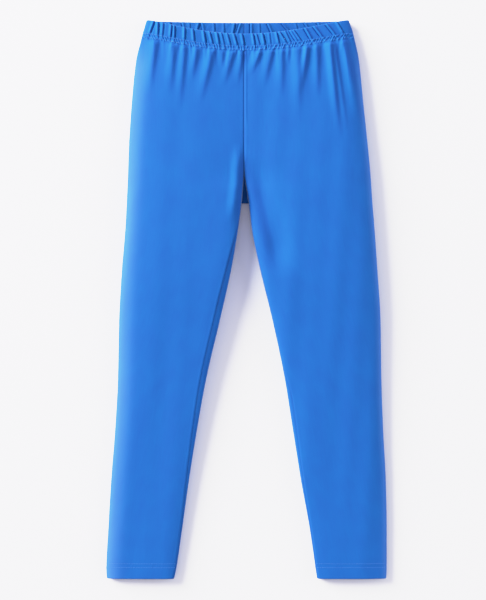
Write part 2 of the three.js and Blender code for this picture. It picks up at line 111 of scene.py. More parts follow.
# Height of the front, height of the centre front seam, how steeply the front falls to it, and how full
# each leg's inner side is
LOFT = table("down crown seam steep left right", [
    (0, 15.0, 14.2, 0, 2.6, 2.6), (24, 16.5, 15.4, 0, 2.6, 2.6), (60, 19.0, 17.4, 0, 2.6, 2.6),
    (110, 21.5, 19.6, 0, 2.8, 2.8), (140, 22.6, 20.0, 0.12, 3.2, 3.2), (164, 23.3, 18.6, 0.35, 3.8, 3.7),
    (180, 23.8, 14.4, 0.62, 4.5, 4.2), (193, 24.1, 8.6, 0.86, 5.2, 4.5), (206, 24.4, 4.0, 1, 5.8, 4.6),
    (219.6, 24.5, 2.8, 1, 6.4, 4.6), (300, 24.0, 2.8, 1, 7.6, 4.4), (372, 21.0, 2.8, 1, 7.6, 4.2),
    (456, 17.5, 2.8, 1, 7.4, 4.4), (552, 14.0, 2.8, 1, 6.8, 4.6), (640, 11.8, 2.8, 1, 6.2, 4.6),
    (670.8, 11.0, 2.8, 1, 6.2, 4.6),
])

# Each inseam: how far in from the inner edge it would lie on the front, and the share of the way there
# from the floor that it has climbed
INSEAM = {
    "left": table("down inset share", [
        (221.6, 0.4, 0), (230, 0.5, 0.7), (240, 0.7, 1), (256, 1.8, 1), (274, 3.6, 1), (300, 5.8, 1),
        (336, 7.2, 1), (400, 7.0, 1), (443, 6.4, 1), (503, 4.6, 1), (551, 3.0, 1), (600, 1.6, 1),
        (670.8, 1.0, 1),
    ]),
    "right": table("down inset share", [
        (221.6, 4.0, 0), (260, 4.6, 0.4), (400, 5.0, 0.6), (456, 5.0, 1), (520, 3.6, 1), (600, 1.6, 1),
        (670.8, 1.0, 1),
    ]),
}

# Flutes that fall from the casing: the place of the crest where they start, its lean to the right over
# 100 mm, half width, height, and length. Their left flanks are wide and their right flanks are steep.
FLUTES = table("across lean half height length", [
    (-108.6, -10, 4.4, 1.2, 56), (-85.2, -8, 4.4, 1.3, 54), (-72.0, -9, 3.8, 1.2, 74),
    (-58.0, -18, 3.8, 1.2, 40), (-39.6, -24, 4.4, 1.4, 68), (-26.4, 0, 2.8, 0.8, 24),
    (-15.0, -28, 3.8, 1.3, 46), (-3.0, -16, 3.4, 1.1, 44), (16.2, -38, 3.6, 1.4, 30),
    (30.6, -20, 3.8, 1.3, 46), (45.2, -3, 4.2, 1.3, 62), (52.8, 0, 2.4, 0.6, 20),
    (63.6, 2, 4.8, 1.4, 88), (73.8, -14, 3.4, 1.9, 52), (87.0, 1, 3.8, 1.2, 66),
    (104.0, 10, 3.6, 2.0, 110), (110.2, 14, 2.4, 0.9, 110), (123.2, 18, 4.0, 1.8, 96),
])
FLUTE_START = 45.6
FLUTE_FADE = 40.0
FLUTE_GAIN = 1.8
FLUTE_LEFT = 1.45
FLUTE_RIGHT = 0.85

# Long soft creases: their line as distances down and across, the half widths of their left and right
# flanks, their height, which is negative for a trough, and how far they take to come in and die out
CREASES = [
    SimpleNamespace(down=(146, 168, 198, 228, 246), across=(-6.4, -7.2, -9.0, -12.6, -15.5),
                    left=5.6, right=6.4, height=2.5, fade=30),
    SimpleNamespace(down=(164, 179, 210, 243, 271, 312), across=(13.4, 17.6, 23.0, 30.4, 37.0, 43.0),
                    left=11.0, right=18.0, height=-4.1, fade=44),
    SimpleNamespace(down=(40, 96, 150, 215), across=(-122.0, -127.0, -131.0, -133.0),
                    left=4.0, right=6.0, height=-0.5, fade=20),
    SimpleNamespace(down=(300, 380, 460, 540, 620), across=(-139.0, -142.0, -144.0, -149.0, -154.0),
                    left=4.0, right=7.0, height=-0.35, fade=20),
]

# Gathers of the casing: place half way down it, lean to the right over its height, height of the crest,
# and the side of the crest on which its groove lies
FRONT_GATHERS = table("across lean height groove", [
    (-111.6, -7.8, 0.8, 1), (-103.3, -0.6, 0.9, 1), (-97.6, -1.5, 0.7, 1), (-87.9, -1.9, 0.8, 1),
    (-83.5, -0.4, 1.0, 1), (-71.4, -0.4, 1.0, 1), (-60.3, 2.2, 0.9, 1), (-47.0, 3.5, 1.1, 1),
    (-38.8, 5.8, 0.9, 1), (-30.9, 3.8, 1.0, 1), (-24.8, 5.5, 0.6, 1), (-17.6, 5.9, 0.8, 1),
    (-9.5, 6.1, 1.0, 1), (-0.9, 4.3, 1.0, 1), (11.9, 3.4, 0.9, 1), (17.5, 6.0, 0.5, 1),
    (23.8, 4.3, 1.1, 1), (31.1, 2.4, 0.4, 1), (40.7, 4.7, 0.9, 1), (48.4, 12.6, 1.0, 1),
    (53.9, 9.9, 0.6, 1), (61.4, 12.9, 0.8, -1), (65.7, 13.7, 0.9, 1), (78.6, 11.7, 1.1, -1),
    (90.9, 15.0, 1.1, -1), (106.0, 16.0, 1.1, -1), (116.6, 12.6, 0.9, 1),
])
BACK_GATHERS = table("across lean height groove", [
    (-103.2, 0.0, 0.5, 1), (-96.5, 1.6, 0.6, 1), (-89.5, -1.2, 0.8, 1), (-71.0, 6.0, 0.9, -1),
    (-65.0, 1.9, 0.4, 1), (-57.6, -6.5, 0.9, 1), (-48.1, 5.2, 0.8, -1), (-35.9, 0.8, 0.6, 1),
    (-24.2, 0.7, 0.5, 1), (-13.5, -4.5, 0.9, 1), (-7.9, -8.0, 0.8, -1), (9.0, 0.0, 0.9, -1),
    (19.0, 1.0, 0.4, 1), (33.6, 10.1, 1.0, -1), (55.4, 20.4, 1.1, -1), (65.5, 7.9, 0.4, 1),
    (80.1, 15.1, 1.0, -1), (94.5, 12.2, 0.9, -1), (107.3, 11.8, 0.6, -1), (115.1, 7.9, 0.6, 1),
])


def mix(a, b, share):
    return a + (b - a) * share


def smooth(value):
    t = np.clip(value, 0.0, 1.0)
    return t * t * (3 - 2 * t)


def bell(distance):
    return np.exp(-distance * distance)


def at(rows, column, down):
    """A column of a table at distances down, on a smooth line through its rows that never overshoots."""
    x, y = rows["down"], rows[column]
    slope = np.diff(y) / np.diff(x)
    before, after = slope[:-1], slope[1:]
    level = before * after <= 0
    both = np.where(level, 1.0, before + after)
    tangent = np.concatenate(([slope[0]], np.where(level, 0.0, 2 * before * after / both), [slope[-1]]))
    place = np.clip(down, x[0], x[-1])
    k = np.clip(np.searchsorted(x, place, side="right") - 1, 0, len(x) - 2)
    span = x[k + 1] - x[k]
    t = (place - x[k]) / span
    ends = t * (1 - t) ** 2 * span * tangent[k] + t * t * (t - 1) * span * tangent[k + 1]
    return mix(y[k], y[k + 1], smooth(t)) + ends


def shoulder(t, full=FULLNESS):
    """Rises steeply from an edge and levels out: 0 at the edge, 1 where it is level."""
    return (1 - (1 - np.clip(t, 0, 1)) ** full) ** (1 / full)


def sizes_at(side, down):
    outer = at(OUTLINE[side], "outer", down)
    inner = max(at(OUTLINE[side], "inner", down), HALF_GAP)
    crown = at(LOFT, "crown", down)
    below = down - CROTCH_DOWN
    return SimpleNamespace(
        outer=outer, inner=inner, crown=crown, middle=(outer + inner) / 2,
        seam=at(LOFT, "seam", down), steep=at(LOFT, "steep", down), full=at(LOFT, side, down),
        side_level=crown * SIDE_LEVEL,
        inner_level=mix(at(LOFT, "seam", CROTCH_DOWN), crown * INNER_LEVEL, smooth(below / 45)),
        inner_corner=mix(CROTCH_CORNER, INNER_CORNER, smooth(below / 30)),
    )


RISE_STEPS = 121
TURN_STEPS = 25


def front_and_side(size, foot):
    """From the inner side up over the front to the outer edge, and round that edge to the floor."""
    t = np.linspace(0, 1, RISE_STEPS) ** 3
    rise = mix(1 - (1 - t) ** 2, shoulder(t, size.full), size.steep)
    up = np.column_stack((mix(size.inner, size.middle, t), mix(foot, size.crown, rise)))
    fall = np.column_stack((mix(size.outer, size.middle, t), mix(size.side_level, size.crown, shoulder(t))))
    turn = np.linspace(0, math.pi / 2, TURN_STEPS)[1:]
    corner = np.column_stack((size.outer - SIDE_CORNER * (1 - np.cos(turn)),
                              size.side_level * (1 - np.sin(turn))))
    return np.concatenate((up, fall[::-1][1:], corner))


def lengths(line):
    return np.concatenate(([0.0], np.cumsum(np.hypot(*np.diff(line, axis=0).T))))


def stretch_ends(size, over, along):
    """Where the inner shoulder ends, the outer shoulder starts and the floor starts, along a section."""
    top, edge = RISE_STEPS - 1, 2 * RISE_STEPS - 2
    shoulder_end = np.interp(size.inner + INNER_SHOULDER, over[:top, 0], along[:top])
    front_end = np.interp(size.outer - OUTER_SHOULDER, over[top:edge, 0], along[top:edge])
    return [shoulder_end, front_end, along[len(over) - 1]]


def body_section(side, down, tuck=TUCK):
    """A panel's section above the crotch, with its edges turned in at the front and back seams."""
    size = sizes_at(side, down)
    over = front_and_side(size, size.seam)
    lead = np.array([[HALF_GAP, size.seam]]) if size.inner > HALF_GAP else np.empty((0, 2))
    line = np.concatenate((lead, over, [[HALF_GAP, 0.0]]))
    along = lengths(line)
    ends = stretch_ends(size, over, along[len(lead):])
    marks = [0.0, *ends, along[-1]]
    if tuck:
        first, last = min(tuck, 0.6 * size.seam), min(tuck, 0.35 * size.seam)
        line = np.concatenate(([[HALF_GAP, size.seam - first]], line, [[HALF_GAP, last]]))
        marks = [0.0, *(mark + first for mark in marks), marks[-1] + first + last]
    return line, marks


def leg_section(side, down):
    """A leg's ring cut open at the inseam, from the seam's front edge round to its back edge."""
    size = sizes_at(side, down)
    corner = size.inner_corner
    turn = np.linspace(0, math.pi / 2, TURN_STEPS)
    foot = np.column_stack((size.inner + corner * (1 - np.sin(turn)), corner * (1 - np.cos(turn))))
    over = front_and_side(size, max(size.inner_level, corner + 0.1))
    ring = np.concatenate((foot, over, [[size.inner + corner, 0.0]]))
    along = lengths(ring)
    total = along[-1]
    up, up_along = over[:RISE_STEPS], along[TURN_STEPS:TURN_STEPS + RISE_STEPS]
    inset = np.interp(size.inner + at(INSEAM[side], "inset", down), up[:, 0], up_along)
    on_front = max(inset, np.interp(size.side_level, up[:, 1], up_along))
    seam = max(on_front * at(INSEAM[side], "share", down), corner * math.pi / 2)
    start, end = seam + HALF_GAP, seam + total - HALF_GAP
    twice = np.concatenate((ring, ring[1:]))
    reach = np.concatenate((along, total + along[1:]))
    inside = (reach > start + 0.01) & (reach < end - 0.01)
    edges = [np.array([[np.interp(s, reach, twice[:, axis]) for axis in (0, 1)]]) for s in (start, end)]
    line = np.concatenate((edges[0], twice[inside], edges[1]))
    ends = [mark - start for mark in stretch_ends(size, over, along[TURN_STEPS:])]
    marks = [0.0, *ends, end - start]
    tuck = mix(0.8, TUCK, smooth((down - CROTCH_DOWN) / 50))
    inward = []
    for a, b in ((line[0], line[1]), (line[-2], line[-1])):
        step = (b - a) / np.hypot(*(b - a))
        inward.append(np.array([step[1], -step[0]]) * tuck)
    line = np.concatenate(([line[0] + inward[0]], line, [line[-1] + inward[1]]))
    marks = [0.0, *(mark + tuck for mark in marks), marks[-1] + 2 * tuck]
    return line, marks


def spread(line, along, start, end, count):
    """Stops that share a stretch's length and its turning evenly."""
    heading = np.unwrap(np.arctan2(*np.diff(line, axis=0).T[::-1]))
    turn = np.concatenate(([0.0], np.minimum(np.abs(np.diff(heading)), SHARPEST_TURN), [0.0]))
    inside = (along > start + 0.02) & (along < end - 0.02)
    place = np.concatenate(([start], along[inside], [end]))
    cost = place + np.cumsum(np.concatenate(([0.0], turn[inside], [0.0]))) * TURN_WORTH
    return np.interp(np.linspace(cost[0], cost[-1], count + 1)[1:], cost, place)


def frames(line, along, stops, reach=0.3):
    """Place and outward direction of the cloth at each stop."""
    def point(s):
        return np.array([np.interp(s, along, line[:, 0]), np.interp(s, along, line[:, 1])])
    step = point(np.minimum(stops + reach, along[-1])) - point(np.maximum(stops - reach, 0))
    step = step / np.hypot(*step)
    out, z = point(stops)
    return out, z, -step[1], step[0]


def dip(side, out, z, down, crown):
    """How far the front of the waist lies below its back."""
    across = np.clip(out / at(OUTLINE[side], "outer", 0.0), 0, 1)
    front = smooth((z / crown - 0.2) / 0.6)
    return mix(BACK_DIP, FRONT_DIP, front) * (1 - across ** 2) ** 1.25 * (1 - smooth(down / DIP_FADE))


def flutes(across, down, lower):
    """Flutes below the casing. Down counts along the cloth, and lower is where that cloth lies."""
    total = np.zeros(across.shape)
    rows = zip(*(FLUTES[name] for name in ("across", "lean", "half", "height", "length")))
    for place, lean, half, height, length in rows:
        away = across - place - lean * (lower - FLUTE_START) / 100
        flank = half * np.where(away < 0, FLUTE_LEFT, FLUTE_RIGHT)
        total = total + height * bell(away / flank) * (1 - smooth((lower - FLUTE_FADE) / length))
    return total * mix(0.4, 1.0, smooth((down - CASING_HEIGHT) / 4))


def small_flutes(across, down, seed):
    """Short fine flutes between the main ones."""
    chance = np.random.default_rng(seed)
    total = np.zeros(across.shape)
    place = -128.0
    while place < 136.0:
        half, height = chance.uniform(1.2, 2.2), chance.uniform(0.3, 0.8)
        length, lean = chance.uniform(12, 40), chance.uniform(-16, 4)
        below = down - CASING_HEIGHT
        away = across - place - lean * below / 100
        total = total + height * bell(away / half) * (1 - smooth(below / length))
        place += chance.uniform(4.5, 8.0)
    return total


def gathered_front(across, down, lower):
    """Relief of the front just below the casing, and of the casing's lower edge."""
    return FLUTE_GAIN * flutes(across, down, lower) + small_flutes(across, down, 5)


def creases(across, down):
    total = np.zeros(np.broadcast(across, down).shape)
    for crease in CREASES:
        centre = np.interp(down, crease.down, crease.across)
        away = across - centre
        flank = np.where(away < 0, crease.left, crease.right)
        start, end = crease.down[0], crease.down[-1]
        fade = smooth((down - start) / crease.fade) * smooth((end - down) / crease.fade)
        total = total + crease.height * bell(away / flank) * fade
    return total


def unevenness(across, down, seed):
    """Low, wide waves that keep the cloth from lying dead even."""
    chance = np.random.default_rng(seed)
    total = np.zeros(np.broadcast(across, down).shape)
    for _ in range(9):
        wide, long = chance.uniform(24, 70), chance.uniform(220, 600)
        shift, height = chance.uniform(0, 2 * math.pi), chance.uniform(0.04, 0.10)
        total = total + height * np.sin(2 * math.pi * (across / wide + down / long) + shift)
    return total


def painted_slope_light(folds, across):
    """Painted light and shade of the folds: towards 1 where the cloth climbs to the right and faces the
    light, towards 0 where it falls.
    """
    run = np.gradient(across, axis=1)
    steady = np.where(np.abs(run) < 0.2, 0.2, run)
    return 0.5 + 0.5 * np.tanh(np.gradient(folds, axis=1) / steady / 0.3)


# Columns of a panel in its stretches: tuck, inner shoulder, front, outer side, back, tuck
STRETCH_COLUMNS = (3, 20, 78, 18, 26, 3)
FRONT_STRETCH = 2


def panel_downs():
    """Rows of a panel, closest where it is gathered, at the crotch and where the hem's edge rounds over."""
    parts = [
        np.arange(CASING_HEIGHT + 0.1, 60, 1.5), np.arange(60, 120, 2.2), np.arange(120, 168, 3.4),
        np.arange(168, CROTCH_DOWN - 1, 2.0), [CROTCH_DOWN, CROTCH_DOWN + LIP],
        np.arange(CROTCH_DOWN + LIP + 2, 300, 2.4), np.arange(300, 648, 4.6),
        np.arange(648, LENGTH - 1.2, 1.4), LENGTH - HEM_ROUND + np.sin(np.linspace(0, math.pi / 2, 6)),
    ]
    return np.concatenate(parts)


def sampled(rows):
    names = ("out", "z", "normal_out", "normal_z", "front", "back", "girth")
    return SimpleNamespace(**{name: np.array(part) for name, part in zip(names, zip(*rows))})


def panel_rows(side, downs):
    """Places and outward directions on a panel, and their distances from its sewn edges."""
    rows = []
    for down in downs:
        section = body_section if down <= CROTCH_DOWN else leg_section
        line, marks = section(side, down)
        along = lengths(line)
        stops = [np.array([0.0])]
        for k, count in enumerate(STRETCH_COLUMNS):
            if k == FRONT_STRETCH:
                stops.append(np.linspace(marks[k], marks[k + 1], count + 1)[1:])
            else:
                stops.append(spread(line, along, marks[k], marks[k + 1], count))
        stops = np.concatenate(stops)
        girth = stops - marks[2] + INNER_SHOULDER
        rows.append((*frames(line, along, stops), stops - marks[1], marks[-2] - stops, girth))
    return sampled(rows)


def skin(side, rows, lower, z, outward):
    """One skin of the cloth, at a distance outside its section, and level where the section is level."""
    facing = mix(rows.normal_z, np.sign(rows.normal_z), smooth((np.abs(rows.normal_z) - 0.9) / 0.08))
    across = CENTRE_X + HANDS[side] * (rows.out + rows.normal_out * outward)
    return np.stack((across, LENGTH / 2 - lower, z + facing * outward), axis=-1)


# Sewn edges: half width and depth of the groove, height of the back's seam allowance, and place, half
# width and height of the ridge beside the front groove
SEAM_HALF = 0.55
SEAM_GROOVE = 0.4
BACK_ALLOWANCE = 0.35
RIDGE_PLACE = 2.2
RIDGE_HALF = 1.3
FRONT_RIDGE = {"left": 0.1, "right": 0.5}
INSEAM_RIDGE = 0.15

# Share of painted shade, by which the cloth is darker in a seam's groove, above and below the knee
SEAM_SHADE = 0.75
LOW_SEAM_SHADE = 0.3

UNEVEN_SEED = {"left": 11, "right": 12}
FLOOR_WAVE = 0.35
HEM_PUCKER = 0.22
HEM_MIDDLE = LENGTH - 16.3
HEM_ROUND = 1.0
ALMOST_SHUT = 0.9995

# Painted highlight, a paler edge where the cloth rolls over at the outer side and catches the light: how far
# it reaches, and its share
RIM_LIGHT_REACH = {"left": 13.0, "right": 4.5}
RIM_LIGHT_SHARE = 0.31


def panel_grid(side):
    """Rows of matching points on a leg panel's outer and inner skin."""
    downs = panel_downs()
    rows = panel_rows(side, downs)
    down = downs[:, None]
    crown = at(LOFT, "crown", downs)[:, None]
    across = HANDS[side] * rows.out
    lower = down + dip(side, rows.out, rows.z, down, crown)
    raised = smooth((rows.z / crown - 0.35) / 0.4)
    floor = 1 - smooth(rows.z / 2)
    body = smooth((CROTCH_DOWN - down) / 10)
    hem = smooth((down - (LENGTH - HEM_DEPTH)) / 0.6)

    long_creases = creases(across, down)
    folds = gathered_front(across, down, lower) + long_creases
    uneven = unevenness(across, down, UNEVEN_SEED[side]) * smooth((down - 30) / 40)
    near_front = bell(np.maximum(rows.front, 0) / SEAM_HALF)
    near_back = bell(np.maximum(rows.back, 0) / SEAM_HALF)
    groove = -SEAM_GROOVE * raised * (near_front + near_back) + BACK_ALLOWANCE * floor * body * near_back
    ridge = mix(INSEAM_RIDGE, FRONT_RIDGE[side], body) * bell((rows.front - RIDGE_PLACE) / RIDGE_HALF)
    waves = 1 + np.sin(across * 0.62 + np.sin(across * 0.23))
    under = FLOOR_WAVE * waves * floor * (1 - smooth((down - CASING_HEIGHT) / 50)) * smooth(rows.back / 5)
    z = rows.z + raised * smooth(rows.out / 3) * (folds + uneven) + groove + raised * ridge + under
    z = z + raised * hem * HEM_PUCKER * hem_puckers(across, down, HEM_MIDDLE)

    wall = mix(CLOTH, HEM_CLOTH, hem)
    close = 1 - np.sqrt(1 - np.clip(down - (LENGTH - HEM_ROUND), 0, ALMOST_SHUT) ** 2)
    # Painted shade in the seams' grooves, weaker below the knee
    shade = mix(SEAM_SHADE, LOW_SEAM_SHADE, smooth((down - 300) / 110))
    shade = np.maximum(near_front, near_back) * (raised + floor) * shade
    to_edge = at(OUTLINE[side], "outer", downs)[:, None] - rows.out
    # Painted highlight along the outer edge, reaching further on the left leg, which faces the light
    painted_rim_light = RIM_LIGHT_SHARE * bell(to_edge / RIM_LIGHT_REACH[side]) * raised * smooth((down - CASING_HEIGHT) / 40)
    return SimpleNamespace(
        outer=skin(side, rows, lower, z, -wall * 0.5 * close),
        inner=skin(side, rows, lower, z, -wall * (1 - 0.5 * close)),
        downs=downs, girth=rows.girth, front=rows.front, shade=np.clip(shade, 0, 1), painted_rim_light=painted_rim_light,
        # Painted light and shade on the folds, from how they climb or fall to the right
        painted_fold_light=painted_slope_light((folds - 0.25 * long_creases) * raised, across),
    )


# A gather: half widths of its crest's slow and steep sides, how high it rises, and the place, half width
# and depth of the groove beside it
CREST_SLOW = 1.7
CREST_STEEP = 0.75
CREST_RISE = 1.6
GROOVE_PLACE = 1.75
GROOVE_HALF = 0.85
GROOVE_DEPTH = 1.1


def pinched(gathers, across, share):
    """Gathers of the elastic: narrow crests with a groove on one side and a slow fall on the other."""
    total = np.zeros(across.shape)
    rows = zip(*(gathers[name] for name in ("across", "lean", "height", "groove")))
    for place, lean, height, groove in rows:
        away = (across - place - lean * (share - 0.5)) * groove
        crest = bell(away / np.where(away < 0, CREST_SLOW, CREST_STEEP))
        hollow = bell((away - GROOVE_PLACE) / GROOVE_HALF)
        total = total + height * (CREST_RISE * crest - GROOVE_DEPTH * hollow)
    return total


# Distances between puckers, and where those of the casing are upright
PUCKER_PITCH = 4.1
PUCKER_MIDDLE = 19.0
HEM_PUCKER_PITCH = 4.6


def puckers(across, down, seed):
    """Small slanted puckers between the two rows of stitches."""
    wander = 0.28 * np.sin(across * 0.41 + seed) + 0.12 * np.sin(across * 1.13 + 0.5 * down)
    phase = (across + across / 150 * (down - PUCKER_MIDDLE)) / PUCKER_PITCH + wander
    crest = bell((phase - np.round(phase)) / 0.2)
    strength = 0.75 + 0.25 * np.sin(across * 0.53 + 1.7 * seed + down * 0.3)
    return crest * strength * smooth((down - 15.6) / 1.6) * (1 - smooth((down - 22.4) / 1.6))


def hem_puckers(across, down, middle):
    """Faint dimples along the hem's two rows of stitches."""
    wander = 0.35 * np.sin(across * 0.37) + 0.2 * np.sin(across * 0.91)
    phase = (across + 0.4 * (down - middle)) / HEM_PUCKER_PITCH + wander
    strength = 0.5 + 0.5 * np.sin(across * 0.23 + 1.0)
    return (bell((phase - np.round(phase)) / 0.24) * strength - 0.5) * bell((down - middle) / 4.5)


# Columns of half of the casing, and how far along it either way its outward direction is taken
CASING_COLUMNS = 500
CASING_REACH = 0.5


def casing_downs():
    edge = TOP_ROUND * (1 - np.cos(np.linspace(0, math.pi / 2, 7)))
    return np.concatenate((edge, np.arange(1.9, CASING_HEIGHT, 0.52), [CASING_HEIGHT + 0.06]))


def casing_rows(side, downs):
    rows = []
    for down in downs:
        line, _ = body_section(side, down, tuck=0)
        along = lengths(line)
        stops = np.linspace(0, along[-1], CASING_COLUMNS + 1)
        rows.append((*frames(line, along, stops, CASING_REACH), stops, along[-1] - stops, stops))
    return sampled(rows)


# Heights of the casing's relief: its proud upper part, the puckers of its front and back, the gathers of
# its back, the folds of its sides and inner skin, and its waves and seam allowance on the floor
PROUD = 0.5
FRONT_PUCKER = 0.95
BACK_PUCKER = 0.3
BACK_GATHER = 0.9
SIDE_FOLD = 0.6
INNER_FOLD = 0.5
LYING_FOLD = 0.45
LYING_ALLOWANCE = 0.35
ALLOWANCE_HALF = 0.9

# Depth, half width and painted shade of the casing's grooves at the centre front and centre back seams
FRONT_GROOVE = 0.15
FRONT_GROOVE_HALF = 0.6
FRONT_SHADE = 0.15
BACK_GROOVE = 0.5
BACK_GROOVE_HALF = 1.2
BACK_SHADE = 0.6


def casing_grid(side):
    """Rows of matching points on the outer and inner skin of half of the waist casing."""
    downs = casing_downs()
    rows = casing_rows(side, downs)
    down = downs[:, None]
    crown = at(LOFT, "crown", downs)[:, None]
    across = HANDS[side] * rows.out
    lower = down + dip(side, rows.out, rows.z, down, crown)
    raised = smooth((rows.z / crown - 0.3) / 0.5)
    floor = 1 - smooth(rows.z / 2)
    share = down / CASING_HEIGHT
    band = mix(0.6, 1.0, smooth(down / 3)) * (1 - 0.7 * smooth((down - STRIP_TOP + 1.5) / 4))
    band = band * (1 - smooth((down - 20) / 4))
    at_front = bell(rows.front / FRONT_GROOVE_HALF)
    at_back = bell(rows.back / BACK_GROOVE_HALF)
    turned = 0.5 + 0.5 * np.sin((rows.front + 0.06 * down) * 0.72 + 0.8 * np.sin(rows.front * 0.19))

    front = PROUD * (1 - smooth((down - 13) / 10)) + pinched(FRONT_GATHERS, across, share) * band
    front = front + FRONT_PUCKER * puckers(across, down, 1.0)
    below_casing = np.full_like(lower, CASING_HEIGHT + 0.1)
    front = front + gathered_front(across, below_casing, lower) * smooth((down - 19) / 5)
    front = front - FRONT_GROOVE * at_front
    outer_lift = raised * front + (1 - raised) * (1 - floor) * SIDE_FOLD * turned ** 3 * band
    back = BACK_GATHER * pinched(BACK_GATHERS, across, share) * band
    back = back + BACK_PUCKER * puckers(across, down, 2.0)
    inner_lift = floor * (back - BACK_GROOVE * at_back) + (1 - floor) * INNER_FOLD * turned * band
    under = floor * (LYING_FOLD * turned + LYING_ALLOWANCE * bell(rows.back / ALLOWANCE_HALF))

    ease = np.clip(1 - down / TOP_ROUND, 0, 1)
    closing = TOP_ROUND * (1 - np.sqrt(1 - ease ** 2))
    wall = mix(CASING_WALL, CLOTH + 0.6, smooth((down - 20) / 4))
    shade = np.maximum(FRONT_SHADE * at_front, BACK_SHADE * at_back)
    return SimpleNamespace(
        outer=skin(side, rows, lower, rows.z + under, outer_lift - closing),
        inner=skin(side, rows, lower, rows.z + under * 0.3, closing - wall - inner_lift),
        downs=downs, girth=rows.girth, front=rows.front, shade=shade, painted_rim_light=np.zeros(shade.shape),
        # Painted light and shade on the casing's gathers, from how they climb or fall to the right
        painted_fold_light=painted_slope_light(front * raised, across),
    )


def cloth_piece(name, grid):
    """A closed thin shell from a grid, with cloth coordinates in millimetres and what its looks need."""
    rows, columns = grid.outer.shape[:2]
    count = rows * columns
    index = np.arange(count).reshape(rows, columns)
    a, b, c, d = (part.ravel() for part in (index[:-1, :-1], index[:-1, 1:], index[1:, 1:], index[1:, :-1]))
    outer_faces = np.column_stack((a, d, c, b))
    inner_faces = np.column_stack((a, b, c, d)) + count

    def wall(edge):
        first, second = edge[:-1], edge[1:]
        return np.column_stack((first, second, second + count, first + count))

    faces = np.concatenate((outer_faces, inner_faces, wall(index[0]), wall(index[-1][::-1]),
                            wall(index[::-1, 0]), wall(index[:, -1])))
    points = np.concatenate((grid.outer.reshape(-1, 3), grid.inner.reshape(-1, 3)))
    mesh = bpy.data.meshes.new(name)
    mesh.from_pydata(points * METRES, [], faces)
    corners = points[faces]
    signed = np.einsum("ij,ij->", corners[:, 0], np.cross(corners[:, 1], corners[:, 2]))
    if signed < 0:
        mesh.flip_normals()
    mesh.shade_smooth()
    mesh.set_sharp_from_angle(angle=math.radians(50))
    down = np.broadcast_to(grid.downs[:, None], grid.girth.shape)
    place = np.tile(np.column_stack((grid.girth.ravel(), down.ravel())), (2, 1))
    corner_points = np.empty(len(mesh.loops), np.int32)
    mesh.loops.foreach_get("vertex_index", corner_points)
    layer = mesh.uv_layers.new(name="cloth")
    layer.data.foreach_set("uv", place[corner_points].astype(np.float32).ravel())
    for label, values in (("seam_shade", grid.shade), ("painted_fold_light", grid.painted_fold_light), ("painted_rim_light", grid.painted_rim_light)):
        layer = mesh.attributes.new(label, "FLOAT", "POINT")
        layer.data.foreach_set("value", np.tile(values.ravel(), 2).astype(np.float32))
    piece = bpy.data.objects.new(name, mesh)
    bpy.context.scene.collection.objects.link(piece)
    return piece


# Distances down of the rows of stitches, and how far they stay from the front and back seams
WAIST_ROWS = (17.0, 21.6)
HEM_ROWS = (LENGTH - 14.0, LENGTH - 18.6)
FRONT_CLEAR = 0.4
BACK_CLEAR = 4.0

# A stitch: the distance to the next one, where it starts, its length, how deep its ends dip, how high its
# middle stands, how far it is pressed in where it lies on the floor, and the radius of its thread
STITCH_PITCH = 3.0
STITCH_START = 0.2
STITCH_LENGTH = 2.55
STITCH_DIP = 0.16
STITCH_RISE = 0.1
STITCH_PRESSED = 0.16
THREAD = 0.2
THREAD_SIDES = 5
THREAD_RINGS = 6


def stitch_line(grid, down):
    """Points and outward directions along a row of stitches on the outer skin."""
    k = int(np.clip(np.searchsorted(grid.downs, down) - 1, 0, len(grid.downs) - 2))
    share = (down - grid.downs[k]) / (grid.downs[k + 1] - grid.downs[k])
    keep = (grid.front[k] > FRONT_CLEAR) & (grid.front[k] < grid.front[k].max() - BACK_CLEAR)
    points = mix(grid.outer[k], grid.outer[k + 1], share)[keep]
    outward = (points - mix(grid.inner[k], grid.inner[k + 1], share)[keep])
    outward[:, 1] = 0
    return points, outward / np.linalg.norm(outward, axis=1)[:, None]


def stitches(name, lines):
    """Every stitch of some rows, as one mesh of short thread arcs that dip into the cloth at each end."""
    sides, rings = THREAD_SIDES, THREAD_RINGS
    t = np.linspace(0, 1, rings)
    turn = np.linspace(0, 2 * math.pi, sides, endpoint=False)
    arc = mix(-STITCH_DIP, STITCH_RISE, np.sin(math.pi * t) ** 0.6)
    points, faces = [], []
    for path, outward in lines:
        along = np.concatenate(([0.0], np.cumsum(np.linalg.norm(np.diff(path, axis=0), axis=1))))
        for k in range(int(along[-1] / STITCH_PITCH)):
            s = k * STITCH_PITCH + STITCH_START + t * STITCH_LENGTH
            centre = np.column_stack([np.interp(s, along, path[:, axis]) for axis in range(3)])
            up = np.column_stack([np.interp(s, along, outward[:, axis]) for axis in range(3)])
            up = up / np.linalg.norm(up, axis=1)[:, None]
            resting = np.clip(-up[:, 2], 0, 1)
            centre = centre + up * (arc - STITCH_PRESSED * resting)[:, None]
            forward = np.gradient(centre, axis=0)
            forward = forward / np.linalg.norm(forward, axis=1)[:, None]
            beside = np.cross(forward, up)
            start = len(points) * sides * rings
            ring = (centre[:, None] + THREAD * (np.cos(turn)[None, :, None] * beside[:, None]
                                                + np.sin(turn)[None, :, None] * up[:, None]))
            points.append(ring.reshape(-1, 3))
            for r in range(rings - 1):
                for j in range(sides):
                    a, b = start + r * sides + j, start + r * sides + (j + 1) % sides
                    faces.append((a, b, b + sides, a + sides))
            faces.append(tuple(start + j for j in reversed(range(sides))))
            faces.append(tuple(start + (rings - 1) * sides + j for j in range(sides)))
    mesh = bpy.data.meshes.new(name)
    mesh.from_pydata(np.concatenate(points) * METRES, [], faces)
    mesh.shade_smooth()
    piece = bpy.data.objects.new(name, mesh)
    bpy.context.scene.collection.objects.link(piece)
    return piece


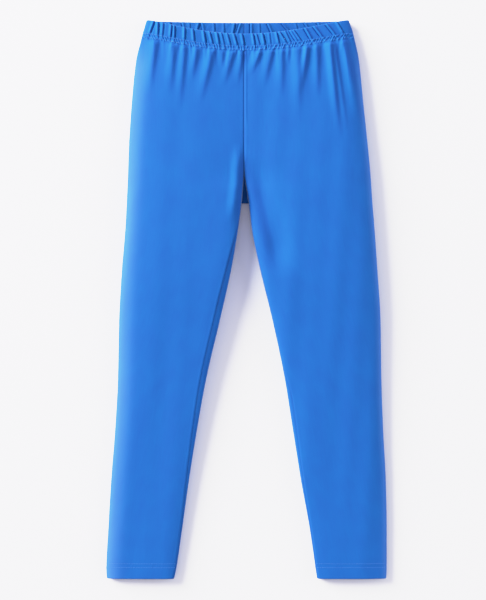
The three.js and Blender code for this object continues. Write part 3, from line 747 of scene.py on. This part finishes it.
class Shade:
    """A socket in a finish, so that its maths can be written as an expression."""

    def __init__(self, finish, socket):
        self.finish, self.socket = finish, socket

    def _math(self, operation, *values):
        return self.finish.node("Math", {"operation": operation}, *values)

    def __add__(self, other):
        return self._math("ADD", self, other)

    def __radd__(self, other):
        return self._math("ADD", other, self)

    def __sub__(self, other):
        return self._math("SUBTRACT", self, other)

    def __rsub__(self, other):
        return self._math("SUBTRACT", other, self)

    def __mul__(self, other):
        return self._math("MULTIPLY", self, other)

    def __rmul__(self, other):
        return self._math("MULTIPLY", other, self)

    def __truediv__(self, other):
        return self._math("DIVIDE", self, other)

    def __pow__(self, other):
        return self._math("POWER", self, other)

    def __abs__(self):
        return self._math("ABSOLUTE", self)

    def part(self):
        return self._math("FRACT", self)

    def sine(self):
        return self._math("SINE", self)

    def held(self):
        return self.finish.node("Clamp", {}, self)


class Finish:
    """A material and the nodes that make it."""

    def __init__(self, name):
        self.material = bpy.data.materials.new(name)
        self.material.use_nodes = True
        self.tree = self.material.node_tree
        self.tree.nodes.clear()

    def node(self, kind, settings, *values, output=0, **named):
        made = self.tree.nodes.new("ShaderNode" + kind)
        for key, value in settings.items():
            setattr(made, key, value)
        for key, value in enumerate(values):
            self.set(made, key, value)
        for key, value in named.items():
            self.set(made, key.replace("_", " "), value)
        return Shade(self, made.outputs[output]) if made.outputs else None

    def set(self, made, key, value):
        if isinstance(value, Shade):
            self.tree.links.new(value.socket, made.inputs[key])
        else:
            made.inputs[key].default_value = value

    def noise(self, place, stretch, detail):
        """Noise whose grain is drawn out by stretch, which counts how often it turns in a unit of place."""
        drawn = self.node("VectorMath", {"operation": "MULTIPLY"}, place, stretch)
        return self.node("TexNoise", {}, Vector=drawn, Scale=1.0, Detail=detail)

    def mixed(self, share, first, second):
        made = self.tree.nodes.new("ShaderNodeMix")
        made.data_type = "RGBA"
        for key, value in ((0, share), (6, first), (7, second)):
            self.set(made, key, value)
        return Shade(self, made.outputs[2])

    def attribute(self, name):
        return self.node("Attribute", {"attribute_name": name}, output=2)

    def surface(self, **named):
        self.node("OutputMaterial", {}, self.node("BsdfPrincipled", {}, **named))
        return self.material


DEEP_BLUE = (0.007, 0.060, 0.285, 1)
CLEAR_BLUE = (0.006, 0.124, 0.395, 1)
RIM_LIGHT_BLUE = (0.130, 0.310, 0.800, 1)
SEAM_SHADE_BLUE = (0.006, 0.042, 0.200, 1)
SHEEN_BLUE = (0.8, 0.93, 1.0, 1)
DEEP_THREAD = (0.012, 0.11, 0.40, 1)
CLEAR_THREAD = (0.03, 0.19, 0.56, 1)
FLOOR_GREY = (0.84, 0.832, 0.88, 1)
FLOOR_WHITE = (0.855, 0.847, 0.895, 1)

# Width of a wale and height of a course of loops
WALE = 0.95
COURSE = 0.75


def jersey(name):
    """Fine brushed knit in the cloth's own millimetres: wales, loops, fibre and streaks, with painted light
    and shade on its folds, a painted highlight along its outer edges and painted shade in its seams.
    """
    finish = Finish(name)
    place = finish.node("UVMap", {"uv_map": "cloth"})
    u = finish.node("SeparateXYZ", {}, place, output=0)
    v = finish.node("SeparateXYZ", {}, place, output=1)
    wale = abs((u / WALE).part() - 0.5) * 2
    loop = ((v / COURSE + wale * 0.7) * (2 * math.pi)).sine() * 0.5 + 0.5
    knit = (1 - wale ** 3.0) * (0.6 + 0.4 * loop)
    streak = finish.noise(place, (0.8, 0.035, 1), 3.0)
    broad = finish.noise(place, (0.05, 0.03, 1), 2.0)
    fibre = finish.noise(place, (3.0, 1.6, 1), 2.0)
    painted_fold_light = finish.attribute("painted_fold_light")
    # The painted fold light makes flanks that face the light lighter and the others darker
    tone = (0.5 + (streak - 0.5) * 0.35 + (broad - 0.5) * 0.4 + (fibre - 0.5) * 0.3
            + (knit - 0.6) * 0.15 + (painted_fold_light - 0.5) * 0.7)
    blue = finish.mixed(tone.held(), DEEP_BLUE, CLEAR_BLUE)
    # Painted highlight along the outer edges
    cloth = finish.mixed(finish.attribute("painted_rim_light").held(), blue, RIM_LIGHT_BLUE)
    # Painted shade in the seams' grooves
    colour = finish.mixed((finish.attribute("seam_shade") * 0.85).held(), cloth, SEAM_SHADE_BLUE)
    bump = finish.node("Bump", {}, Strength=0.35, Distance=0.00025, Height=knit * 0.6 + fibre * 0.4)
    return finish.surface(Base_Color=colour, Roughness=0.84 + (fibre - 0.5) * 0.2, Normal=bump,
                          Sheen_Weight=0.55, Sheen_Roughness=0.25, Sheen_Tint=SHEEN_BLUE,
                          Specular_IOR_Level=0.18)


def thread(name):
    finish = Finish(name)
    place = finish.node("TexCoord", {}, output=3)
    twist = finish.node("TexWave", {"bands_direction": "DIAGONAL"}, Vector=place, Scale=900.0,
                        Distortion=1.0, output=1)
    bump = finish.node("Bump", {}, Strength=0.4, Distance=0.0001, Height=twist)
    return finish.surface(Base_Color=finish.mixed(twist, DEEP_THREAD, CLEAR_THREAD),
                          Roughness=0.5 + 0.2 * twist, Normal=bump, Sheen_Weight=0.2, Sheen_Roughness=0.4)


def floor_finish():
    finish = Finish("pale_floor")
    grain = finish.noise(finish.node("TexCoord", {}, output=3), (6.0, 6.0, 6.0), 2.0)
    return finish.surface(Base_Color=finish.mixed(grain, FLOOR_GREY, FLOOR_WHITE),
                          Roughness=0.9 + 0.05 * grain, Specular_IOR_Level=0.1)


FLOOR_HALF = 6.0
FLOOR_Z = -0.0002


def lay_floor():
    corners = [(x * FLOOR_HALF, y * FLOOR_HALF, FLOOR_Z) for x, y in ((-1, -1), (1, -1), (1, 1), (-1, 1))]
    mesh = bpy.data.meshes.new("floor")
    mesh.from_pydata(corners, [], [(0, 1, 2, 3)])
    mesh.materials.append(floor_finish())
    floor = bpy.data.objects.new("floor", mesh)
    bpy.context.scene.collection.objects.link(floor)
    return floor


def look_at(thing, target):
    thing.rotation_euler = (thing.location - Vector(target)).to_track_quat("Z", "Y").to_euler()


def add_light(name, place, size, power, colour):
    data = bpy.data.lights.new(name, "AREA")
    data.shape = "DISK"
    data.size = size
    data.energy = power
    data.color = colour
    light = bpy.data.objects.new(name, data)
    light.location = place
    look_at(light, (0, 0, 0))
    bpy.context.scene.collection.objects.link(light)


STUDIO_LIGHT = (0.905, 0.885, 1.0, 1)
STUDIO_STRENGTH = 0.70


def light_the_studio():
    world = bpy.data.worlds.new("studio")
    world.use_nodes = True
    background = world.node_tree.nodes["Background"]
    background.inputs["Color"].default_value = STUDIO_LIGHT
    background.inputs["Strength"].default_value = STUDIO_STRENGTH
    bpy.context.scene.world = world
    add_light("key", place=(-4.2, 2.6, 2.0), size=3.4, power=945.0, colour=(1.0, 0.99, 0.985))
    add_light("fill", place=(4.2, 0.4, 1.7), size=3.0, power=130.0, colour=(0.95, 0.97, 1.0))
    soften_highlights()


# How the picture's bright end rolls off: light in the scene, light in the picture
HIGHLIGHTS = [(0, 0), (0.25, 0.25), (0.5, 0.51), (0.75, 0.74), (1.0, 0.855), (1.25, 0.89), (1.5, 0.908),
              (1.85, 0.932), (3.0, 1.0)]


def soften_highlights():
    settings = bpy.context.scene.view_settings
    settings.view_transform = "Standard"
    settings.look = "None"
    settings.use_curve_mapping = True
    mapping = settings.curve_mapping
    brightest = HIGHLIGHTS[-1][0]
    mapping.white_level = (brightest,) * 3
    line = mapping.curves[3]
    line.points[0].location = HIGHLIGHTS[0]
    line.points[-1].location = (1.0, HIGHLIGHTS[-1][1])
    for light, shown in HIGHLIGHTS[1:-1]:
        line.points.new(light / brightest, shown)
    mapping.update()


def set_camera():
    data = bpy.data.cameras.new("camera")
    data.lens = 85.0
    data.sensor_width = 36.0
    camera = bpy.data.objects.new("camera", data)
    camera.location = (-0.0042, -0.0006, 1.709)
    bpy.context.scene.collection.objects.link(camera)
    bpy.context.scene.camera = camera


def dress(piece, material, node=None):
    piece.data.materials.append(material)
    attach(piece, "root")
    if node:
        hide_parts(node)


set_camera()
light_the_studio()
floor = lay_floor()
jersey_cloth = jersey("blue_jersey")
blue_thread = thread("blue_thread")

waist_lines = []
for side in HANDS:
    panel = panel_grid(side)
    casing = casing_grid(side)
    leg = cloth_piece(f"{side}_leg_cloth", panel)
    band = cloth_piece(f"{side}_waist_casing", casing)
    dress(leg, jersey_cloth, f"leg_{side}")
    dress(band, jersey_cloth, f"waistband_{side}")
    hem_rows = stitches(f"{side}_hem_coverstitch", [stitch_line(panel, down) for down in HEM_ROWS])
    dress(hem_rows, blue_thread)
    waist_lines += [stitch_line(casing, down) for down in WAIST_ROWS]
waist_rows = stitches("waist_coverstitch", waist_lines)
dress(waist_rows, blue_thread)

bpy.context.view_layer.update()
